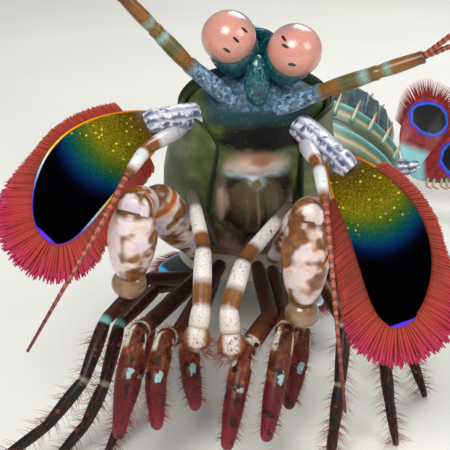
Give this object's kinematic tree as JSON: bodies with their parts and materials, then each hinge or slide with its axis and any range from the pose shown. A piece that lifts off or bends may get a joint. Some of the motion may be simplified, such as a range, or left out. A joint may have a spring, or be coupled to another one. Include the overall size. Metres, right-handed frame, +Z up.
{
  "type": "pink-eared mantis shrimp",
  "caption": "Life-size mantis shrimp reared up on its walking legs, with round pink eyes, fringed oval antennal scales, folded clubs and a spread red tail fan.",
  "frame": {"origin": "on the floor, under the middle of the animal's bounding box", "axes": "+Z up, head looks toward -Y, tail toward +Y, the animal's left is +X"},
  "size_m": [0.0592, 0.0846, 0.0481],
  "materials": {
    "shell_olive": "wet, half clear olive shell",
    "shell_teal": "wet blue-green shell",
    "eye": "smooth wet pink cornea",
    "antennal_blade": "speckled olive blade with a dark spot, orange rim and red bristles",
    "feeler_gold": "wet gold-brown limb",
    "feeler_red": "wet red-brown feeler",
    "claw_cream": "wet cream shell blotched brown",
    "limb_brown": "wet red-brown limb banded with cream",
    "abdomen_shell": "wet green shell with cream and cyan edges",
    "tail_red": "red paddle with a black, blue-rimmed spot and red bristles",
    "pleopod_black": "black plate with a blue rim and red bristles"
  },
  "bodies": {
    "root": {"abdomen_1": "abdomen_shell", "abdomen_2": "abdomen_shell", "abdomen_3": "abdomen_shell", "abdomen_4": "abdomen_shell", "abdomen_5": "abdomen_shell", "abdomen_6": "abdomen_shell", "antenna_L": "feeler_red", "antenna_R": "feeler_red", "antennal_scale_L": "antennal_blade", "antennal_scale_R": "antennal_blade", "antennule_L": "feeler_gold", "antennule_R": "feeler_gold", "carapace": "shell_olive", "eye_L": "eye", "eye_R": "eye", "eyestalk_L": "shell_teal", "eyestalk_R": "shell_teal", "head": "shell_olive", "maxilliped_1_L": "claw_cream", "maxilliped_1_R": "claw_cream", "maxilliped_3_L": "limb_brown", "maxilliped_3_R": "limb_brown", "maxilliped_4_L": "limb_brown", "maxilliped_4_R": "limb_brown", "maxilliped_5_L": "limb_brown", "maxilliped_5_R": "limb_brown", "pleopod_1_L": "pleopod_black", "pleopod_1_R": "pleopod_black", "pleopod_2_L": "pleopod_black", "pleopod_2_R": "pleopod_black", "pleopod_3_L": "pleopod_black", "pleopod_3_R": "pleopod_black", "pleopod_4_L": "pleopod_black", "pleopod_4_R": "pleopod_black", "pleopod_5_L": "pleopod_black", "pleopod_5_R": "pleopod_black", "raptorial_dactyl_L": "claw_cream", "raptorial_dactyl_R": "claw_cream", "raptorial_merus_L": "claw_cream", "raptorial_merus_R": "claw_cream", "raptorial_propodus_L": "claw_cream", "raptorial_propodus_R": "claw_cream", "rostral_plate": "shell_teal", "telson": "abdomen_shell", "thorax_5_6": "shell_olive", "thorax_7": "shell_olive", "thorax_8": "shell_olive", "uropod_endopod_L": "tail_red", "uropod_endopod_R": "tail_red", "uropod_exopod_L": "tail_red", "uropod_exopod_R": "tail_red", "walking_leg_1_L": "limb_brown", "walking_leg_1_R": "limb_brown", "walking_leg_2_L": "limb_brown", "walking_leg_2_R": "limb_brown", "walking_leg_3_L": "limb_brown", "walking_leg_3_R": "limb_brown"}
  },
  "joints": []
}
